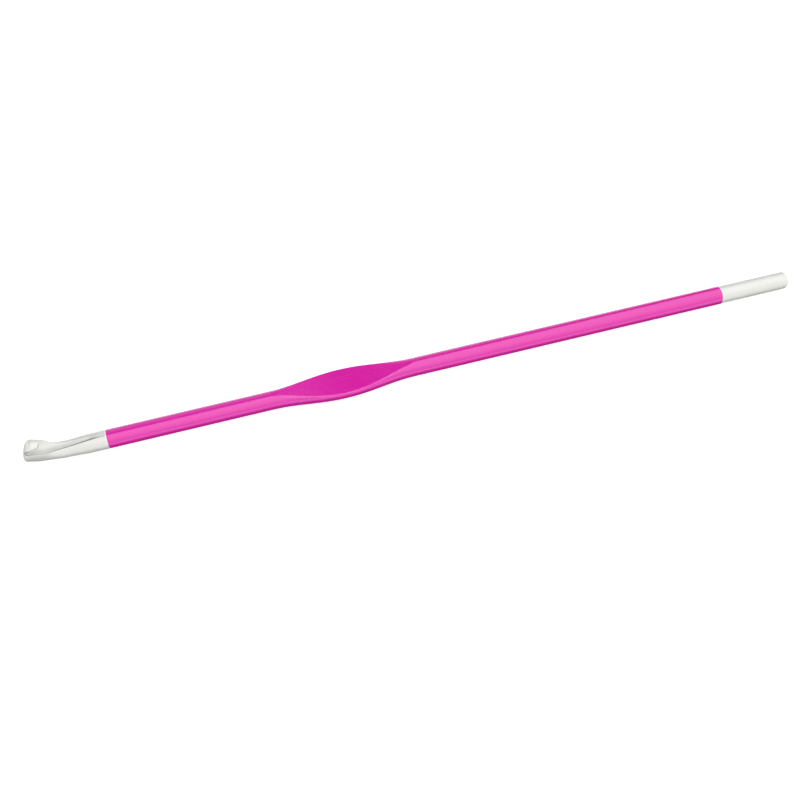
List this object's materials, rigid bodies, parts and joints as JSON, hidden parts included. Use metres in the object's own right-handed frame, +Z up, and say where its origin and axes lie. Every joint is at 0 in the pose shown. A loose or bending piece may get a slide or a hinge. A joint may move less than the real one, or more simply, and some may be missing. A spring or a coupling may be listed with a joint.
{
  "type": "crochet hook",
  "caption": "Slim metal crochet hook with a raised, lipped head, a pressed flat thumb rest on a coloured shaft and a bright domed end.",
  "frame": {"origin": "centre of the footprint, on the surface that the hook lies on", "axes": "+X along the hook from the head to the end piece, +Z up out of the thumb rest's broad face and the throat"},
  "size_m": [0.15, 0.006, 0.0061],
  "materials": {
    "head_metal": "polished bare metal",
    "shaft_coat": "satin pink anodised metal",
    "end_metal": "satin bare metal"
  },
  "bodies": {
    "root": {"hook_head": "head_metal", "shaft": "shaft_coat", "end_piece": "end_metal"}
  },
  "joints": []
}
